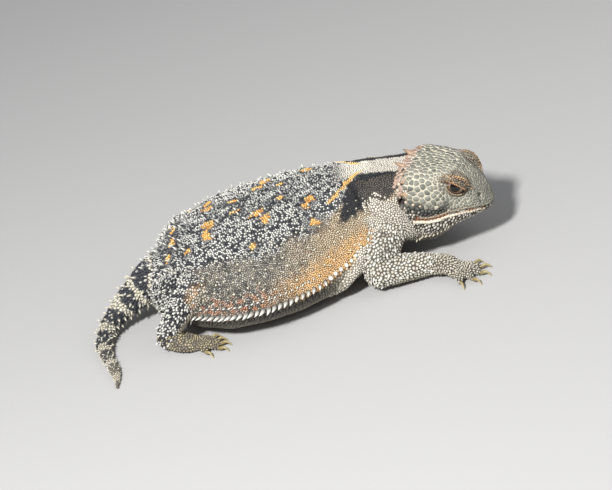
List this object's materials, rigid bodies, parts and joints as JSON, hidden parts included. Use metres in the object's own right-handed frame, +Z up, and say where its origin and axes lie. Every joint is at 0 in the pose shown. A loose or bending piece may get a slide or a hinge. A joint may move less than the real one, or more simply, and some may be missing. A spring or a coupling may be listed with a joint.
{
  "type": "horned lizard",
  "caption": "Life-size still model of a horned lizard at rest on its belly, head turned to one side and tail curled round.",
  "frame": {"origin": "centre of the box round the animal, on the floor it rests on", "axes": "+X towards the head, +Y to the animal's left, +Z up"},
  "size_m": [0.0998, 0.0602, 0.0262],
  "materials": {
    "dark_skin": "matt scaly skin, charcoal with pale-tipped spines and orange blotches",
    "head_skin": "matt grey-green head plates with cream outlines",
    "throat_skin": "matt cream and brown mottled scales",
    "pale_skin": "matt grey-cream keeled scales",
    "tail_skin": "matt grey and cream banded scales",
    "horn": "satin horn, brown to pinkish",
    "claw": "satin horn, olive yellow",
    "eye": "wet gloss, dark brown"
  },
  "bodies": {
    "root": {"claw_foot_left_1": "claw", "claw_foot_left_2": "claw", "claw_foot_left_3": "claw", "claw_foot_left_4": "claw", "claw_foot_left_5": "claw", "claw_foot_right_1": "claw", "claw_foot_right_2": "claw", "claw_foot_right_3": "claw", "claw_foot_right_4": "claw", "claw_foot_right_5": "claw", "claw_hand_left_1": "claw", "claw_hand_left_2": "claw", "claw_hand_left_3": "claw", "claw_hand_left_4": "claw", "claw_hand_left_5": "claw", "claw_hand_right_1": "claw", "claw_hand_right_2": "claw", "claw_hand_right_3": "claw", "claw_hand_right_4": "claw", "claw_hand_right_5": "claw", "eye_left": "eye", "eye_right": "eye", "foot_left": "pale_skin", "foot_right": "pale_skin", "forearm_left": "pale_skin", "forearm_right": "pale_skin", "hand_left": "pale_skin", "hand_right": "pale_skin", "head": "head_skin", "lower_jaw": "throat_skin", "neck": "throat_skin", "occipital_horn_left": "horn", "occipital_horn_right": "horn", "shank_left": "dark_skin", "shank_right": "dark_skin", "tail_base": "dark_skin", "tail_mid": "tail_skin", "tail_tip": "tail_skin", "temporal_horn_left_1": "horn", "temporal_horn_left_2": "horn", "temporal_horn_left_3": "horn", "temporal_horn_right_1": "horn", "temporal_horn_right_2": "horn", "temporal_horn_right_3": "horn", "thigh_left": "dark_skin", "thigh_right": "dark_skin", "torso": "dark_skin", "upper_arm_left": "pale_skin", "upper_arm_right": "pale_skin"}
  },
  "joints": []
}
